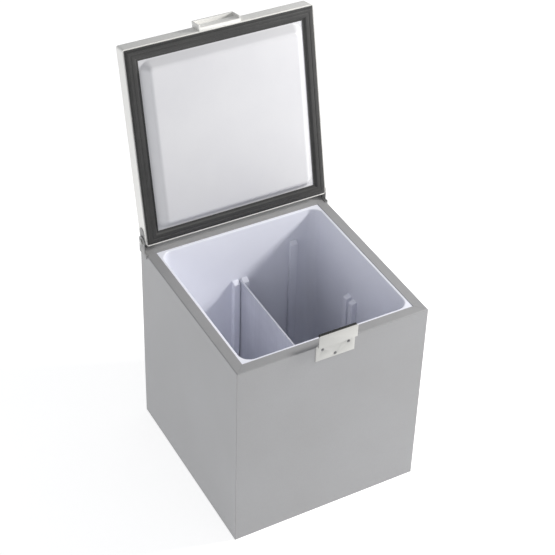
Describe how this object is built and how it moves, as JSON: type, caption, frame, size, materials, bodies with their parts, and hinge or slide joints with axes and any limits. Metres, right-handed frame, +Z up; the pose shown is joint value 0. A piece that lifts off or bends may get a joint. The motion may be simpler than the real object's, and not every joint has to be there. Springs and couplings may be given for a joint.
{
  "type": "chest freezer",
  "caption": "Cube-shaped grey steel chest freezer with a lift-up insulated lid, black lid seal, white liner, lift-out divider and a front hasp latch.",
  "frame": {"origin": "middle of the base pan's flat underside, on the floor", "axes": "+Z up, +X towards the side with the machine bay's cover, +Y towards the hinges; the front with the latch faces -Y"},
  "size_m": [0.501, 0.6252, 1.0433],
  "materials": {
    "steel_panel": "satin silver-grey coating on folded sheet steel",
    "zinc_sheet": "dull galvanised sheet",
    "pad_rubber": "matte black rubber",
    "liner_plastic": "satin vacuum-formed white plastic, faintly blue",
    "foam": "rigid polyurethane foam",
    "coil_aluminium": "drawn aluminium tube",
    "black_enamel": "semi-gloss black enamel",
    "copper": "drawn copper tube",
    "module_plastic": "black moulded plastic",
    "cover_plastic": "dark grey textured plastic",
    "knob_plastic": "light grey moulded plastic",
    "lamp_lens": "clear green lens",
    "divider_plastic": "satin white plastic sheet",
    "hinge_steel": "dull grey plated steel",
    "nylon": "natural nylon",
    "latch_paint": "satin off-white powder coat",
    "screw_steel": "plated steel screws",
    "seal_rubber": "matte black flexible seal",
    "lid_paint": "satin off-white coating on sheet steel",
    "lid_plastic": "satin vacuum-formed white plastic"
  },
  "bodies": {
    "cabinet": {"front_panel": "steel_panel", "left_panel": "steel_panel", "right_panel": "steel_panel", "rear_panel": "steel_panel", "base_pan": "zinc_sheet", "feet": "pad_rubber", "liner": "liner_plastic", "cabinet_foam": "foam", "evaporator_coil": "coil_aluminium", "condenser_coil": "black_enamel", "probe_cover": "liner_plastic", "sensor_bulb": "copper", "machine_bay": "zinc_sheet", "compressor": "black_enamel", "compressor_grommets": "pad_rubber", "compressor_bolts": "screw_steel", "start_module": "module_plastic", "filter_drier": "copper", "discharge_pipe": "copper", "suction_pipe": "copper", "service_cover": "cover_plastic", "cover_screws": "screw_steel", "thermostat": "knob_plastic", "pilot_lamp": "lamp_lens", "cord_gland": "pad_rubber", "hinge_bracket_left": "hinge_steel", "hinge_bracket_right": "hinge_steel", "bracket_screws": "screw_steel", "hinge_bushes": "nylon", "keeper_plate": "latch_paint", "keeper_screws": "screw_steel", "latch_pin": "screw_steel"},
    "divider": {"divider": "divider_plastic"},
    "thermostat_knob": {"thermostat_knob": "knob_plastic"},
    "hasp": {"latch_hasp": "latch_paint", "hasp_strip": "seal_rubber"},
    "lid": {"lid_outer_pan": "lid_paint", "lid_inner_panel": "lid_plastic", "lid_foam": "foam", "lid_gasket": "seal_rubber", "lid_catch": "lid_paint", "catch_screws": "screw_steel", "hinge_arms": "hinge_steel", "hinge_pins": "screw_steel"}
  },
  "joints": [
    {"name": "lid_hinge", "type": "hinge", "parent": "cabinet", "child": "lid", "pos_m": [0, 0.239, 0.5515], "axis": [1, 0, 0], "range_deg": [0, 102]},
    {"name": "hasp_hinge", "type": "hinge", "parent": "cabinet", "child": "hasp", "pos_m": [0, -0.256, 0.529], "axis": [1, 0, 0], "range_deg": [-6, 95]},
    {"name": "divider_lift", "type": "slide", "parent": "cabinet", "child": "divider", "axis": [0, 0, 1], "range_m": [0, 0.13]},
    {"name": "thermostat_turn", "type": "hinge", "parent": "cabinet", "child": "thermostat_knob", "pos_m": [0.2315, -0.1978, 0.1502], "axis": [1, 0, 0], "range_deg": [0, 270]}
  ]
}
